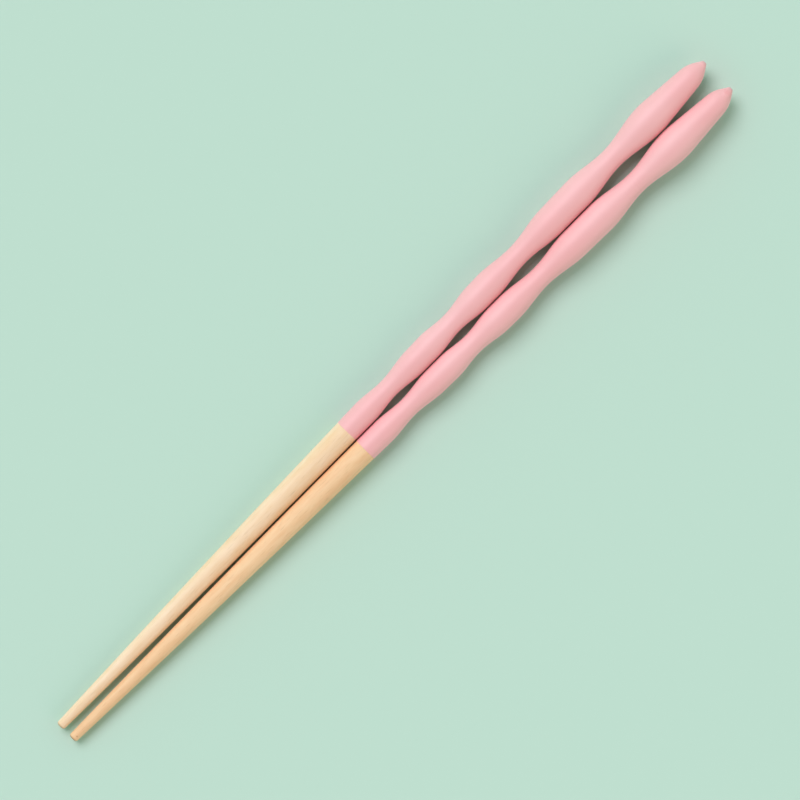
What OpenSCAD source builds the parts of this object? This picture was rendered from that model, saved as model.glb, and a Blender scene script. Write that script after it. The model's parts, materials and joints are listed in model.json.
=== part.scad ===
// Pair of turned wooden chopsticks, lying side by side on a table.
// Each stick is one piece of wood: a bare tapering shank and a painted handle. The handle is
// a plain taper with four coves cut into it, so its beads all reach one straight line. Along
// that line the stick rests on the table and close beside its twin, with the tip a little raised.
// The sticks point along X with their tips at -X. The table is z = 0, and the origin is on it,
// under the middle of the pair. In an outline a point is [radius, distance from the tip].

/* [Overall] */
// Length of a stick, from its tip to the end of its handle
length = 230; // [200:1:260]
// Clearance between the sticks where their beads lie side by side
side_clearance = 0.25; // [0:0.01:1]

/* [Shank] */
// Diameter of the tip
tip_d = 2.4; // [1.6:0.1:3.2]
// Rounding of the tip's edge
tip_edge_r = 0.6; // [0.1:0.05:0.6]
// Diameter at the shoulder, where the shank meets the handle
shoulder_d = 6.4; // [6:0.1:7.4]

/* [Beads] */
// Widest diameter of the handle, at the corner of the last bead
last_bead_d = 8.6; // [7.6:0.1:10]
// Length of the first bead's crest, counted from the shoulder
bead_1_l = 4.6; // [1:0.1:12]
// Length of the second bead's crest
bead_2_l = 3.4; // [1:0.1:12]
// Length of the third bead's crest
bead_3_l = 9; // [1:0.1:20]
// Length of the last bead's crest, up to its corner
bead_4_l = 1.5; // [0.5:0.1:8]
// Rounding of the last bead's corner
bead_4_corner_r = 12; // [1:1:40]

/* [Coves] */
// Length of the first cove, which starts at the shoulder
cove_1_l = 18.2; // [12:0.1:26]
// Diameter at the bottom of the first cove
cove_1_d = 5.05; // [4:0.05:6.2]
// Length of the second cove
cove_2_l = 17.5; // [12:0.1:26]
// Diameter at the bottom of the second cove
cove_2_d = 5.45; // [4:0.05:6.6]
// Length of the third cove
cove_3_l = 23; // [14:0.1:32]
// Diameter at the bottom of the third cove
cove_3_d = 5.4; // [4:0.05:7]
// Length of the fourth cove
cove_4_l = 25.6; // [14:0.1:34]
// Diameter at the bottom of the fourth cove
cove_4_d = 5.55; // [4:0.05:7.4]

/* [Handle end] */
// Length of the cone between the last bead and the nose
end_cone_l = 15.1; // [8:0.1:24]
// Diameter where that cone meets the nose
nose_d = 5.8; // [4:0.1:7]
// Length of the blunt nose
nose_l = 3.6; // [1.5:0.1:8]
// Rounding where the cone meets the nose
nose_corner_r = 9; // [0.5:0.1:12]
// Diameter of the small flat at the very end
end_flat_d = 1.1; // [0.4:0.1:3]
// Rounding of that flat's edge
end_edge_r = 0.4; // [0.1:0.05:1.5]

/* [Paint] */
// How far the paint runs down the shank, past the shoulder
paint_past_shoulder = 6.1; // [1:0.1:40]
// Colour of the painted handles
paint_colour = "#F4B9BC";
// Colour of the left stick's bare wood
left_wood_colour = "#F3DDB9";
// Colour of the right stick's bare wood
right_wood_colour = "#F0CB9C";

/* [Hidden] */
$fn = 96;

// Straight pieces that each curve of the outline is drawn with
shank_steps = 24;
painted_shank_steps = 4;
cove_steps = 24;
corner_steps = 8;

handle_l = cove_1_l + bead_1_l + cove_2_l + bead_2_l + cove_3_l + bead_3_l
    + cove_4_l + bead_4_l + end_cone_l + nose_l;
shoulder_at = length - handle_l;
paint_at = shoulder_at - paint_past_shoulder;

// Where each cove starts
cove_1_at = shoulder_at;
cove_2_at = cove_1_at + cove_1_l + bead_1_l;
cove_3_at = cove_2_at + cove_2_l + bead_2_l;
cove_4_at = cove_3_at + cove_3_l + bead_3_l;

// Corners of the handle's end
cove_4_end_at = cove_4_at + cove_4_l;
last_corner_at = cove_4_end_at + bead_4_l;
nose_at = last_corner_at + end_cone_l;

// Radius of the plain taper that the handle is cut from, carried on down to the tip
taper_slope = (last_bead_d - shoulder_d) / 2 / (last_corner_at - shoulder_at);
function taper_r(at) = shoulder_d / 2 + taper_slope * (at - shoulder_at);

// The shank thins away from the taper by the square of the distance from the shoulder
tip_drop = taper_r(0) - tip_d / 2;
function shank_r(at) = taper_r(at) - tip_drop * pow(1 - at / shoulder_at, 2);
function shank_points(from, to, steps) = [
    for (i = [0:steps])
        let (at = from + (to - from) * i / steps)
        [shank_r(at), at]
];

// A cove is one wave of a cosine, taken off the taper
function cove_points(from, len, bottom_d) =
    let (depth = taper_r(from + len / 2) - bottom_d / 2)
    [
        for (i = [0:cove_steps])
            let (at = from + len * i / cove_steps)
            [taper_r(at) - depth * (1 - cos(360 * i / cove_steps)) / 2, at]
    ];

// Arc that rounds the corner b between a and c. It takes up at most half of each side.
function unit(v) = v / norm(v);
function corner_points(a, b, c, r) =
    let (
        u = unit(a - b),
        v = unit(c - b),
        half_angle = acos(u * v) / 2,
        side = min(r / tan(half_angle), min(norm(a - b), norm(c - b)) / 2),
        radius = side * tan(half_angle),
        centre = b + unit(u + v) * radius / sin(half_angle),
        first = b + u * side - centre,
        start = atan2(first.y, first.x),
        sweep = sign(cross(u, v)) * -(180 - 2 * half_angle)
    )
    [
        for (i = [0:corner_steps])
            let (turn = start + sweep * i / corner_steps)
            centre + radius * [cos(turn), sin(turn)]
    ];

tip_corner = [tip_d / 2, 0];
cove_4_end = [taper_r(cove_4_end_at), cove_4_end_at];
last_corner = [taper_r(last_corner_at), last_corner_at];
nose_corner = [nose_d / 2, nose_at];
end_corner = [end_flat_d / 2, length];

shank_outline = shank_points(tip_edge_r, paint_at, shank_steps);
shank_outline_above_edge = [for (i = [1:shank_steps]) shank_outline[i]];

bare_outline = concat(
    [[0, 0]],
    corner_points([0, 0], tip_corner, shank_outline[1], tip_edge_r),
    shank_outline_above_edge,
    [[0, paint_at]]
);

painted_outline = concat(
    [[0, paint_at]],
    shank_points(paint_at, shoulder_at, painted_shank_steps),
    cove_points(cove_1_at, cove_1_l, cove_1_d),
    cove_points(cove_2_at, cove_2_l, cove_2_d),
    cove_points(cove_3_at, cove_3_l, cove_3_d),
    cove_points(cove_4_at, cove_4_l, cove_4_d),
    corner_points(cove_4_end, last_corner, nose_corner, bead_4_corner_r),
    corner_points(last_corner, nose_corner, end_corner, nose_corner_r),
    corner_points(nose_corner, end_corner, [0, length], end_edge_r),
    [[0, length]]
);

// One stick, standing on its tip
module turned_stick(wood_colour) {
    color(wood_colour) rotate_extrude() polygon(bare_outline);
    color(paint_colour) rotate_extrude() polygon(painted_outline);
}

// Lays a stick down so that the taper's line touches the table and, on the other side,
// half of the clearance. The axis climbs by the lean and swings out by the splay.
lean = atan(taper_slope);
splay = asin(tan(lean));
tip_height = taper_r(0) * cos(lean);
reach = length * cos(lean) * cos(splay);
module laid_down(side) {
    translate([-reach / 2, side * (tip_height + side_clearance / 2), tip_height])
        rotate([0, 90 - lean, side * splay])
            children();
}

// The stick on the +Y side
module left_chopstick() {
    laid_down(1) turned_stick(left_wood_colour);
}

// The stick on the -Y side
module right_chopstick() {
    laid_down(-1) turned_stick(right_wood_colour);
}

left_chopstick();
right_chopstick();
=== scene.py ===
# %% [markdown]
# # A pair of turned and painted chopsticks
# Two slender wooden sticks lie side by side on a mint green card. Each was turned from one
# blank: a bare shank that tapers to a blunt tip, and a handle with four shallow coves, painted
# a satin pink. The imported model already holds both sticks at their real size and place. This
# lesson gives them smooth surfaces, wood, paint, light and the camera of a flat lay.

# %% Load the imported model
import json
import math

import bpy
import numpy as np
from mathutils import Euler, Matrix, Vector


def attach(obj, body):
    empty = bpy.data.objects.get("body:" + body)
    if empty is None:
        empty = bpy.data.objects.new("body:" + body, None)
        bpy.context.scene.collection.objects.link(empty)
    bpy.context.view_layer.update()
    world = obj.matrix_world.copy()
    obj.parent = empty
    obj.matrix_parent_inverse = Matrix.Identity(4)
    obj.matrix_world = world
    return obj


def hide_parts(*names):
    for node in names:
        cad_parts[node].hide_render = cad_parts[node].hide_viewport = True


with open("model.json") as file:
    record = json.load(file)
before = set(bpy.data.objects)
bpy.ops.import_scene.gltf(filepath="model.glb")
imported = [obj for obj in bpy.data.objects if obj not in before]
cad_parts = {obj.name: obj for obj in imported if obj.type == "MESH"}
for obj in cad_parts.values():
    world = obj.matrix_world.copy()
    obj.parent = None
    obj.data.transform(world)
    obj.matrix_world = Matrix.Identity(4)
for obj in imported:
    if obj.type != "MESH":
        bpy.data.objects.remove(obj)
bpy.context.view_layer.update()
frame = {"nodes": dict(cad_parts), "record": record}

MM = 0.001

# %% [markdown]
# ## Where each stick lies
# A stick is round, so all that is needed to place it is its tip and the direction of its axis.
# The record's two tip mounts give both: a mount sits on the middle of the tip's flat, and its
# axis points out of it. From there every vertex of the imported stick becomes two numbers, the
# distance along the axis and the radius. A turner's template is just that list, so the outline
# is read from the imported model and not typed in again: it stays true if a size changes.

# %% Read a stick's place and outline
def place_of(mount_name):
    """Tip, forward direction, and two directions across it: sideways (level) and upwards."""
    mount = next(m for m in frame["record"]["mounts"] if m["name"] == mount_name)
    tip = np.array(mount["pos_m"])
    forward = -np.array(mount["axis"])
    forward = forward / np.linalg.norm(forward)
    sideways = np.cross([0.0, 0.0, 1.0], forward)
    sideways = sideways / np.linalg.norm(sideways)
    upwards = np.cross(forward, sideways)
    return {"tip": tip, "forward": forward, "sideways": sideways, "upwards": upwards}


def rings_of(node_name, place):
    """The outline of a packed stick, from tip to end: one row of (along, radius) for each ring.
    along = (vertex - tip) . forward, and radius = length of what is left of the vertex."""
    mesh = frame["nodes"][node_name].data
    corners = np.empty(len(mesh.vertices) * 3)
    mesh.vertices.foreach_get("co", corners)
    from_tip = corners.reshape(-1, 3) - place["tip"]
    along = from_tip @ place["forward"]
    radius = np.linalg.norm(from_tip - np.outer(along, place["forward"]), axis=1)
    step = 0.01 * MM
    order, which = np.unique(np.round(along / step), return_inverse=True)
    widest = np.zeros(len(order))
    np.maximum.at(widest, which.ravel(), radius)
    ends = np.array([[0.0, 0.0], [order[-1] * step, 0.0]])
    return np.vstack([ends[:1], np.column_stack([order * step, widest]), ends[1:]])


STICKS = {
    "left_chopstick": place_of("left_tip"),
    "right_chopstick": place_of("right_tip"),
}
for stick_name, place in STICKS.items():
    place["rings"] = rings_of(stick_name, place)
    place["length"] = place["rings"][-1, 0]
    print(stick_name, "has", len(place["rings"]), "rings over", round(place["length"] / MM, 2), "mm")

# %% [markdown]
# ## A smooth outline
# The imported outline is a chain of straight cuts, up to 4 mm long on the shank. On satin paint
# each cut would show as a band, so the outline is drawn again as a curve through the same
# points. A Catmull-Rom curve is the simple choice: at each point it runs parallel to the line
# between the two neighbours. It follows the chain's own length, so it can also turn the corner
# from the side of the tip onto its flat, where the radius is no function of the distance.

# %% Make a function that draws the curve through the rings
LONGEST_STEP = 0.38 * MM


def smooth_outline(rings, extra_at):
    """A curve through the rings, as rows of (along, radius).
    Between points p and q with slopes m and n and share t, the curve is
    (2t^3 - 3t^2 + 1) p + (t^3 - 2t^2 + t) m + (3t^2 - 2t^3) q + (t^3 - t^2) n."""
    lengths = np.linalg.norm(np.diff(rings, axis=0), axis=1)
    travelled = np.concatenate([[0.0], np.cumsum(lengths)])
    slopes = np.gradient(rings, travelled, axis=0)
    slopes[0] = (rings[1] - rings[0]) / lengths[0]
    slopes[-1] = (rings[-1] - rings[-2]) / lengths[-1]
    parts = np.ceil(lengths / LONGEST_STEP)
    counted = np.concatenate([[0.0], np.cumsum(parts)])
    wanted = np.interp(np.arange(counted[-1] + 1), counted, travelled)
    wanted = np.unique(np.concatenate([wanted, np.interp(extra_at, rings[:, 0], travelled)]))
    start = np.clip(np.searchsorted(travelled, wanted, side="right") - 1, 0, len(lengths) - 1)
    span = lengths[start]
    t = ((wanted - travelled[start]) / span)[:, None]
    p, q = rings[start], rings[start + 1]
    m, n = slopes[start] * span[:, None], slopes[start + 1] * span[:, None]
    curve = (2 * t**3 - 3 * t**2 + 1) * p + (t**3 - 2 * t**2 + t) * m
    curve = curve + (3 * t**2 - 2 * t**3) * q + (t**3 - t**2) * n
    curve[[0, -1], 1] = 0.0
    return curve


# %% [markdown]
# ## Small marks of the making
# The paint is a coat with a thickness: at the masked line it ends in a rounded lip, a few
# hundredths of a millimetre above the wood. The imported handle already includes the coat, so the
# wood is taken down towards the line instead, and the handles keep their clearance. The right
# stick dried with a drop of paint on top of its end. The drop is a low round dome with a steep
# border, and on one side of it the skin shrank into a small dimple.

# %% Shape the paint line and the dried drop
PAINTED_LENGTH = 127.6 * MM
COAT = 0.05 * MM
LIP = 0.12 * MM
LIP_STEPS = np.array([0.0, 0.02, 0.08, 0.2, 0.4, 0.7, 1.0])
DROP_TO_END = 1.7 * MM
DROP_RADIUS = 1.25 * MM
DROP_RISE = 0.17 * MM
DIMPLE_TO_END = 1.7 * MM
DIMPLE_ACROSS = 1.0 * MM
DIMPLE_DEPTH = 0.18 * MM
DIMPLE_WIDTH = 0.32 * MM


def below_coat(along, paint_at):
    """How far the surface lies below the coat's face.
    On the wood it is the coat times the cube of the way to the line, which no eye can follow.
    On the lip it is the coat times 1 - sqrt(1 - s^2), a quarter round, where s falls to 0."""
    on_wood = COAT * np.clip(along / paint_at, 0.0, 1.0) ** 3
    s = 1.0 - np.clip((along - paint_at) / LIP, 0.0, 1.0)
    on_lip = COAT * (1.0 - np.sqrt(1.0 - s**2))
    return np.where(along <= paint_at, on_wood, on_lip)


def dried_drop(to_end, turn, radius):
    """Height of the drop, seen from above: rise * (1 - (d / drop radius)^4), where d is the level
    distance from its middle, less the dimple's bell curve, depth * exp(-(e / width)^2)."""
    across = radius * np.cos(turn)
    d = np.hypot(to_end - DROP_TO_END, across)
    e = np.hypot(to_end - DIMPLE_TO_END, across - DIMPLE_ACROSS)
    dome = DROP_RISE * np.clip(1.0 - (d / DROP_RADIUS) ** 4, 0.0, 1.0)
    dimple = DIMPLE_DEPTH * np.exp(-((e / DIMPLE_WIDTH) ** 2))
    return np.where(np.sin(turn) > 0.0, dome - dimple, 0.0)


# %% [markdown]
# ## From outline to surface
# Turning carries the outline round the axis, so the surface is a function of two parameters:
# the place along the outline, and the angle. All its points come from one array expression.
# The poles are single points, so that the surface is closed, and the faces turn outwards. The
# rings lie closer together at the paint's lip and near the end, where the small marks are.

# %% Turn the outline into a mesh
AROUND = 96
NEAR_END = 4.0 * MM
LAST_RING_TO_END = 0.1 * MM
RINGS_NEAR_END = 45
ROUNDING = 0.001 * MM


def turn_surface(name, place):
    """Surface of revolution: tip + along * forward + radius * (cos a * sideways + sin a * upwards)."""
    paint_at = place["length"] - PAINTED_LENGTH
    lip_rings = paint_at + LIP * LIP_STEPS
    end_rings = place["length"] - np.linspace(LAST_RING_TO_END, NEAR_END, RINGS_NEAR_END)
    outline = smooth_outline(place["rings"], np.concatenate([lip_rings, end_rings]))
    along, radius = outline[1:-1, 0, None], outline[1:-1, 1, None]
    turn = np.linspace(0.0, 2.0 * math.pi, AROUND, endpoint=False)[None, :]
    radius = radius - below_coat(along, paint_at) * np.ones_like(turn)
    if name == "right_chopstick":
        radius = radius + dried_drop(place["length"] - along, turn, radius)
    around = np.cos(turn)[..., None] * place["sideways"] + np.sin(turn)[..., None] * place["upwards"]
    grid = place["tip"] + along[..., None] * place["forward"] + radius[..., None] * around
    poles = place["tip"] + outline[[0, -1], 0, None] * place["forward"]
    points = np.vstack([grid.reshape(-1, 3), poles])
    return points, along.ravel(), paint_at


def faces_of(rings):
    """Quads between neighbouring rings, and a fan of triangles from each pole to its ring."""
    here = np.arange(AROUND)
    after = (here + 1) % AROUND
    ring = (np.arange(rings - 1) * AROUND)[:, None]
    next_ring = ring + AROUND
    quads = np.stack([ring + here, ring + after, next_ring + after, next_ring + here], axis=-1)
    tip_pole, end_pole = rings * AROUND, rings * AROUND + 1
    last = (rings - 1) * AROUND
    tip_fan = np.column_stack([after, here, np.full(AROUND, tip_pole)])
    end_fan = np.column_stack([last + here, last + after, np.full(AROUND, end_pole)])
    return quads.reshape(-1, 4), tip_fan, end_fan


def make_stick(name, place):
    """The finished piece for one stick. Its first material is wood, and its second is paint."""
    points, along, paint_at = turn_surface(name, place)
    quads, tip_fan, end_fan = faces_of(len(along))
    mesh = bpy.data.meshes.new(name + "_turned")
    mesh.from_pydata(points.tolist(), [], quads.tolist() + tip_fan.tolist() + end_fan.tolist())
    painted = np.repeat(along[:-1] >= paint_at - ROUNDING, AROUND)
    finish = np.concatenate([painted, np.zeros(AROUND), np.ones(AROUND)]).astype(np.int32)
    mesh.polygons.foreach_set("material_index", finish)
    mesh.polygons.foreach_set("use_smooth", np.ones(len(finish), bool))
    mesh.update()
    piece = bpy.data.objects.new(name + "_turned", mesh)
    bpy.context.scene.collection.objects.link(piece)
    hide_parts(name)
    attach(piece, "root")
    painted_from = round(paint_at / MM, 1)
    print(piece.name, "has", len(mesh.polygons), "faces and is painted from", painted_from, "mm")
    return piece


pieces = {name: make_stick(name, place) for name, place in STICKS.items()}

# %% [markdown]
# ## Building materials from nodes
# Each finish is a tree of procedural nodes. Colours are written as the hex values that a
# painter would pick on a screen, and one function turns them into the linear light values
# that the renderer needs. One small helper adds a node, sets its values and links its inputs.
# A socket can be named by its number too. That is needed on the Mix node, which has a socket A
# and B for each kind of data: its two colours are the inputs 6 and 7, and the result is output 2.

# %% Helpers for colours and nodes
MIX_A = 6
MIX_B = 7
MIX_RESULT = 2


def linear(hex_colour):
    """sRGB to linear light: c / 12.92 below 0.04045, else ((c + 0.055) / 1.055) ^ 2.4."""
    shares = np.array([int(hex_colour[i : i + 2], 16) for i in (1, 3, 5)]) / 255.0
    light = np.where(shares <= 0.04045, shares / 12.92, ((shares + 0.055) / 1.055) ** 2.4)
    return (*light.tolist(), 1.0)


def add(tree, kind, inputs, **settings):
    """Adds a node. inputs maps a socket's name or number to a value, or to an output to link."""
    node = tree.nodes.new("ShaderNode" + kind)
    for key, value in settings.items():
        setattr(node, key, value)
    for key, value in inputs.items():
        if isinstance(value, bpy.types.NodeSocket):
            tree.links.new(value, node.inputs[key])
        else:
            node.inputs[key].default_value = value
    return node


def new_material(name):
    """An empty node material, and its tree."""
    material = bpy.data.materials.new(name)
    material.use_nodes = True
    material.node_tree.nodes.clear()
    return material, material.node_tree


def along_stick(tree, place):
    """Object coordinates turned into the stick's own: x from its tip along it, y and z across."""
    forward = Vector(place["forward"])
    rotation = (0.0, -math.asin(forward.z), math.atan2(forward.y, forward.x))
    coordinates = add(tree, "TexCoord", {})
    return add(
        tree,
        "Mapping",
        {"Vector": coordinates.outputs["Object"], "Location": place["tip"], "Rotation": rotation},
        vector_type="TEXTURE",
    ).outputs["Vector"]


def grain_noise(tree, where, length, width, detail=2.0, shift=0.0):
    """Noise stretched along the stick, with features of the given length and width in metres."""
    scale = (1.0 / length, 1.0 / width, 1.0 / width)
    start = (shift, shift, shift)
    mapping = add(tree, "Mapping", {"Vector": where, "Scale": scale, "Location": start})
    stretched = mapping.outputs["Vector"]
    return add(tree, "TexNoise", {"Vector": stretched, "Scale": 1.0, "Detail": detail}).outputs["Fac"]


# %% [markdown]
# ## Bare wood
# The shanks are a pale, close-grained hardwood such as beech or birch, turned and then sanded
# along the grain. To the eye it is creamy and almost even, with soft streaks that run the
# length of the stick, a faint dapple, a few hair-thin pores and hardly any shine. The right
# stick comes from a warmer board, and has one small brown fleck on top, close to its tip. The
# tips are cut across the grain, and such end grain drinks in more of everything and looks
# darker. The tips are darkened further than end grain alone, as painted shade for the rounded
# end that turns away from the light. The pattern is solid noise in the stick's own directions,
# so it runs through as real grain does. Each noise has its length and width in the wood, and
# its weight in the figure. Fibres and pores of beech are 0.1 mm wide or less. They are drawn
# two to three times as coarse here, so that they still show at a quarter of a millimetre to a
# pixel.

# %% Make the two woods
BOARD = (55.0 * MM, 5.0 * MM)
BOARD_WEIGHT = 0.4
STREAK = (38.0 * MM, 1.3 * MM)
STREAK_WEIGHT = 0.3
DAPPLE = (5.0 * MM, 1.4 * MM)
DAPPLE_WEIGHT = 0.35
FIBRE = (7.0 * MM, 0.28 * MM)
FIBRE_WEIGHT = 0.15
PALE_UP_TO = 0.38
WARM_FROM = 0.82
PORE = (2.6 * MM, 0.18 * MM)
PORE_SHARE = 0.16
# The tips darken over this length and by this share: part end grain, part painted shade.
END_GRAIN_AND_SHADE = 0.6 * MM
END_GRAIN_AND_SHADE_SHARE = 0.8
FLECK_RADIUS = 0.3 * MM
FLECK_SHARE = 0.7
FIBRE_RELIEF = 0.03 * MM


def sanded_wood(name, place, pale, warm, pore_colour, shift, fleck_at=None):
    """Turned and sanded hardwood: a figure between two tones, with fine pores, and tips darkened
    as end grain and as painted shade.
    The figure is the sum of weight * noise over board, streaks, dapple and fibres."""
    material, tree = new_material(name)
    where = along_stick(tree, place)
    board = grain_noise(tree, where, *BOARD, shift=shift)
    streaks = grain_noise(tree, where, *STREAK, shift=shift + 3.0)
    dapple = grain_noise(tree, where, *DAPPLE, shift=shift + 5.0)
    fibres = grain_noise(tree, where, *FIBRE, shift=shift + 7.0)
    pores = grain_noise(tree, where, *PORE, detail=0.0, shift=shift + 11.0)
    figure = add(tree, "Math", {0: board, 1: BOARD_WEIGHT}, operation="MULTIPLY").outputs[0]
    for noise, weight in ((streaks, STREAK_WEIGHT), (dapple, DAPPLE_WEIGHT), (fibres, FIBRE_WEIGHT)):
        terms = {0: noise, 1: weight, 2: figure}
        figure = add(tree, "Math", terms, operation="MULTIPLY_ADD").outputs[0]
    tone = add(tree, "MapRange", {"Value": figure, "From Min": PALE_UP_TO, "From Max": WARM_FROM})
    tones = {0: tone.outputs["Result"], MIX_A: linear(pale), MIX_B: linear(warm)}
    colour = add(tree, "Mix", tones, data_type="RGBA").outputs[MIX_RESULT]
    in_pore = {"Value": pores, "From Min": 0.66, "From Max": 0.78, "To Max": PORE_SHARE}
    pore = add(tree, "MapRange", in_pore).outputs["Result"]
    along = add(tree, "SeparateXYZ", {"Vector": where}).outputs["X"]
    # Darker towards the tip: part end grain, part painted shade for the rounded end that turns from the
    # light.
    end_grain_and_shade = {"Value": along, "From Min": END_GRAIN_AND_SHADE, "From Max": 0.0, "To Max": END_GRAIN_AND_SHADE_SHARE}
    darker = [pore, add(tree, "MapRange", end_grain_and_shade).outputs["Result"]]
    if fleck_at is not None:
        away = add(tree, "VectorMath", {0: where, 1: fleck_at}, operation="DISTANCE").outputs["Value"]
        in_fleck = {"Value": away, "From Min": FLECK_RADIUS, "From Max": 0.0, "To Max": FLECK_SHARE}
        darker.append(add(tree, "MapRange", in_fleck).outputs["Result"])
    for share in darker:
        layers = {0: share, MIX_A: colour, MIX_B: linear(pore_colour)}
        colour = add(tree, "Mix", layers, data_type="RGBA").outputs[MIX_RESULT]
    height = add(tree, "Math", {0: fibres, 1: pore}, operation="SUBTRACT").outputs[0]
    bump = add(tree, "Bump", {"Height": height, "Strength": 0.25, "Distance": FIBRE_RELIEF})
    roughness = add(tree, "MapRange", {"Value": fibres, "To Min": 0.5, "To Max": 0.66})
    shader = add(
        tree,
        "BsdfPrincipled",
        {
            "Base Color": colour,
            "Roughness": roughness.outputs["Result"],
            "Normal": bump.outputs["Normal"],
            "IOR": 1.5,
        },
    )
    add(tree, "OutputMaterial", {"Surface": shader.outputs["BSDF"]})
    return material


FLECK_AT = (1.3 * MM, -0.4 * MM, 1.1 * MM)
woods = {
    "left_chopstick": sanded_wood(
        "pale_sanded_hardwood",
        STICKS["left_chopstick"],
        pale="#FEDFC4",
        warm="#F3C89B",
        pore_colour="#A97C50",
        shift=0.0,
    ),
    "right_chopstick": sanded_wood(
        "warm_sanded_hardwood",
        STICKS["right_chopstick"],
        pale="#FCD3A8",
        warm="#EEB585",
        pore_colour="#9C643F",
        shift=40.0,
        fleck_at=FLECK_AT,
    ),
}
print("woods:", [wood.name for wood in woods.values()])

# %% [markdown]
# ## Satin paint
# The handles carry a pink enamel, sprayed in thin coats over the sanded wood and cured to a
# satin. To the eye it is even and soft, with a broad dull highlight. Close by, the surface
# has the faint orange peel that every spray coat dries with, and the grain below still shows
# as long low ridges. The colour is a touch uneven, where the coat is thinner. It is deeper in
# the dried drop. At the very end it is greyed towards mauve: that is painted shade, for the
# end face that turns away from the light.

# %% Make the paint
PEEL = 1.3 * MM
RIDGE = (20.0 * MM, 0.7 * MM)
CLOUD = (16.0 * MM, 9.0 * MM)
# Painted shade: the handle end darkens over this length, by this share.
SHADED_END_LENGTH = 0.8 * MM
SHADED_END_SHARE = 0.4
DROP_SHARE = 0.7
PEEL_RELIEF = 0.02 * MM


def satin_enamel(name, place, thick, thin, deep, shaded_end_colour, has_drop):
    """Sprayed enamel: two close tones of one pink, orange peel, and grain that shows through."""
    material, tree = new_material(name)
    where = along_stick(tree, place)
    cloud = grain_noise(tree, where, *CLOUD)
    peel = grain_noise(tree, where, PEEL, PEEL, detail=1.0)
    ridges = grain_noise(tree, where, *RIDGE, detail=1.0)
    tone = add(tree, "MapRange", {"Value": cloud, "From Min": 0.35, "From Max": 0.65})
    tones = {0: tone.outputs["Result"], MIX_A: linear(thick), MIX_B: linear(thin)}
    colour = add(tree, "Mix", tones, data_type="RGBA").outputs[MIX_RESULT]
    along = add(tree, "SeparateXYZ", {"Vector": where}).outputs["X"]
    end_at = place["length"]
    # Painted shade: the last stretch of the handle end is greyed towards mauve, for the end face that
    # turns from the light.
    fade = {"From Min": end_at - SHADED_END_LENGTH, "From Max": end_at, "To Max": SHADED_END_SHARE}
    marks = [(add(tree, "MapRange", {"Value": along, **fade}).outputs["Result"], shaded_end_colour)]
    if has_drop:
        middle = (end_at - DROP_TO_END, 0.0, DROP_RADIUS)
        away = add(tree, "VectorMath", {0: where, 1: middle}, operation="DISTANCE").outputs["Value"]
        fade = {"From Min": DROP_RADIUS, "From Max": 0.5 * DROP_RADIUS, "To Max": DROP_SHARE}
        marks.append((add(tree, "MapRange", {"Value": away, **fade}).outputs["Result"], deep))
    for share, mark_colour in marks:
        layers = {0: share, MIX_A: colour, MIX_B: linear(mark_colour)}
        colour = add(tree, "Mix", layers, data_type="RGBA").outputs[MIX_RESULT]
    height = add(tree, "Math", {0: ridges, 1: 0.8, 2: peel}, operation="MULTIPLY_ADD").outputs[0]
    bump = add(tree, "Bump", {"Height": height, "Strength": 0.3, "Distance": PEEL_RELIEF})
    roughness = add(tree, "MapRange", {"Value": peel, "To Min": 0.42, "To Max": 0.54})
    shader = add(
        tree,
        "BsdfPrincipled",
        {
            "Base Color": colour,
            "Roughness": roughness.outputs["Result"],
            "Normal": bump.outputs["Normal"],
            "IOR": 1.5,
        },
    )
    add(tree, "OutputMaterial", {"Surface": shader.outputs["BSDF"]})
    return material


for stick_name, piece in pieces.items():
    enamel = satin_enamel(
        stick_name.split("_")[0] + "_pink_satin_enamel",
        STICKS[stick_name],
        thick="#F8B4B7",
        thin="#F9B9BC",
        deep="#F7A5AA",
        # The mauve grey of the painted shade at the handle end.
        shaded_end_colour="#AE8589",
        has_drop=stick_name == "right_chopstick",
    )
    piece.data.materials.append(woods[stick_name])
    piece.data.materials.append(enamel)
    print(piece.name, "wears", [m.name for m in piece.data.materials])

# %% [markdown]
# ## The card
# The sticks lie on a sheet of mint green card, drawn so wide that its edges are out of sight.
# It is a plain matt surface, and its colour matters beyond the background: the light that it
# throws back tints the undersides of the sticks. For the camera, the world behind it has the
# tone of the lit card, so that hardly any horizon shows from the side. For all else it is the
# room: green, because most of its light has been thrown about by the card, and dark overhead,
# where the camera and whoever holds it are. That dark patch is why the narrow gaps between the
# sticks, which see only what is straight above them, are so deep.

# %% Lay the card and set the world
CARD_SIZE = 12.0
CARD_COLOUR = "#C2DDCF"
LIT_CARD_COLOUR = "#C2E1D1"
ROOM_COLOUR = "#C9FFED"
ROOM_LIGHT = 0.9
DARK_WITHIN = 30.0
BRIGHT_BEYOND = 50.0

card_mesh = bpy.data.meshes.new("card")
half = CARD_SIZE / 2
card_corners = [(-half, -half, 0), (half, -half, 0), (half, half, 0), (-half, half, 0)]
card_mesh.from_pydata(card_corners, [], [(0, 1, 2, 3)])
card = bpy.data.objects.new("card", card_mesh)
bpy.context.scene.collection.objects.link(card)
card_material, card_tree = new_material("matt_mint_card")
card_shader = add(
    card_tree,
    "BsdfPrincipled",
    {"Base Color": linear(CARD_COLOUR), "Roughness": 0.9, "Specular IOR Level": 0.2},
)
add(card_tree, "OutputMaterial", {"Surface": card_shader.outputs["BSDF"]})
card_mesh.materials.append(card_material)

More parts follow.
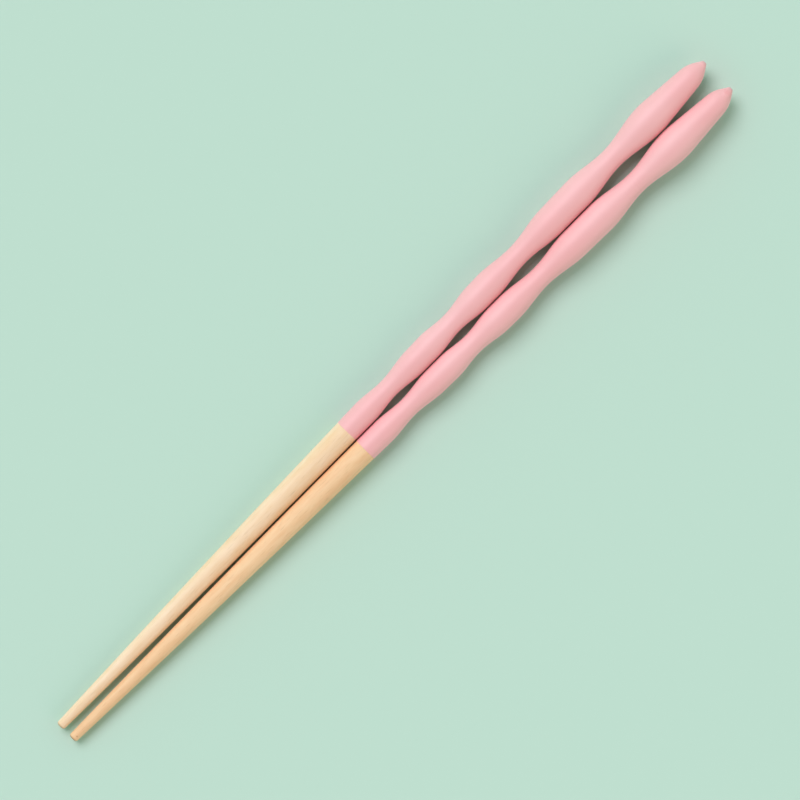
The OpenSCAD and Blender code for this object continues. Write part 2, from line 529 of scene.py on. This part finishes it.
world = bpy.data.worlds.new("studio")
bpy.context.scene.world = world
world.use_nodes = True
world.node_tree.nodes.clear()
direction = add(world.node_tree, "TexCoord", {}).outputs["Generated"]
upwards = add(world.node_tree, "SeparateXYZ", {"Vector": direction}).outputs["Z"]
brightness = add(
    world.node_tree,
    "MapRange",
    {
        "Value": upwards,
        "From Min": math.cos(math.radians(BRIGHT_BEYOND)),
        "From Max": math.cos(math.radians(DARK_WITHIN)),
        "To Min": ROOM_LIGHT,
        "To Max": 0.0,
    },
)
room_light = add(
    world.node_tree,
    "Background",
    {"Color": linear(ROOM_COLOUR), "Strength": brightness.outputs["Result"]},
)
card_tone = add(world.node_tree, "Background", {"Color": linear(LIT_CARD_COLOUR), "Strength": 1.0})
ray = add(world.node_tree, "LightPath", {})
sky = add(
    world.node_tree,
    "MixShader",
    {0: ray.outputs["Is Camera Ray"], 1: room_light.outputs[0], 2: card_tone.outputs[0]},
)
add(world.node_tree, "OutputWorld", {"Surface": sky.outputs[0]})

# %% [markdown]
# ## Light
# The shadows say what the light was. The deep ones fall to the right stick's side, dark where
# the stick meets the card and soft a few millimetres out: that is one broad window, leaning in
# from the left stick's side. It is a little to the handles' side too, because in each cove the
# wall that faces the handle's end is the brighter one. A second, fainter shadow falls the other
# way, from the light that a wall opposite the window throws back, warmed by the sticks' own
# colours. Sun lamps with wide discs do both, and light the card evenly all over. Their
# strengths and tints, and the room's, were chosen together: on open card they add up to nearly
# white light, in which a colour shows about as it is written, and the shadows and both sides
# of the sticks come out as bright as they are in the photograph.

# %% Hang the lamps
def hang_sun(name, lean_deg, turn_deg, strength, colour, disc_deg):
    """A sun whose light comes from lean_deg off the vertical, towards turn_deg round from +Y."""
    lamp = bpy.data.lights.new(name, "SUN")
    lamp.energy = strength
    lamp.color = linear(colour)[:3]
    lamp.angle = math.radians(disc_deg)
    sun = bpy.data.objects.new(name, lamp)
    sun.rotation_euler = Euler((math.radians(-lean_deg), 0.0, math.radians(turn_deg)))
    bpy.context.scene.collection.objects.link(sun)
    print(name, "shines with", strength, "from", lean_deg, "degrees off the vertical")


hang_sun("window", lean_deg=36.0, turn_deg=-8.0, strength=2.14, colour="#FFEDF9", disc_deg=40.0)
hang_sun("wall", lean_deg=-64.0, turn_deg=0.0, strength=0.79, colour="#FF9BA2", disc_deg=50.0)

# %% [markdown]
# ## Camera
# The photograph looks straight down. Two marks tie the camera to it: where it shows the
# middle of the two tips, and the middle of the two handle ends. A picture that looks straight
# down is a turned and scaled plan, and in complex numbers that is one product and one shift:
# mark = a * point / drop - b / drop, where drop is the height of the camera over the point.
# Two marks give a and b, and these give the lens, the turn and the place of the camera.

# %% Place the camera
PICTURE_SIDE = 800
TIPS_MARK = (65.9, 731.9)
ENDS_MARK = (717.6, 75.0)
CAMERA_HEIGHT = 0.9
SENSOR_WIDTH = 36.0

tips = np.mean([place["tip"] for place in STICKS.values()], axis=0)
ends = np.mean([p["tip"] + p["length"] * p["forward"] for p in STICKS.values()], axis=0)
middle = complex(PICTURE_SIDE / 2, PICTURE_SIDE / 2)
marks = np.array([complex(x + 0.5, PICTURE_SIDE - y - 0.5) for x, y in (TIPS_MARK, ENDS_MARK)]) - middle
points = np.array([complex(p[0], p[1]) for p in (tips, ends)])
drops = CAMERA_HEIGHT - np.array([tips[2], ends[2]])
a, b = np.linalg.solve(np.column_stack([points / drops, -1.0 / drops]), marks)

lens = bpy.data.cameras.new("flat_lay")
lens.sensor_width = SENSOR_WIDTH
lens.lens = abs(a) * SENSOR_WIDTH / PICTURE_SIDE
camera = bpy.data.objects.new("flat_lay", lens)
camera.location = ((b / a).real, (b / a).imag, CAMERA_HEIGHT)
camera.rotation_euler = Euler((0.0, 0.0, -math.atan2(a.imag, a.real)))
bpy.context.scene.collection.objects.link(camera)
bpy.context.scene.camera = camera
camera_at = [round(x / MM, 2) for x in camera.location]
print("camera at", camera_at, "mm with a lens of", round(lens.lens, 1), "mm")

# %% [markdown]
# ## The view
# The view transform is the plain one, so that no film curve changes the colours.

# %% Set the view
bpy.context.scene.view_settings.view_transform = "Standard"
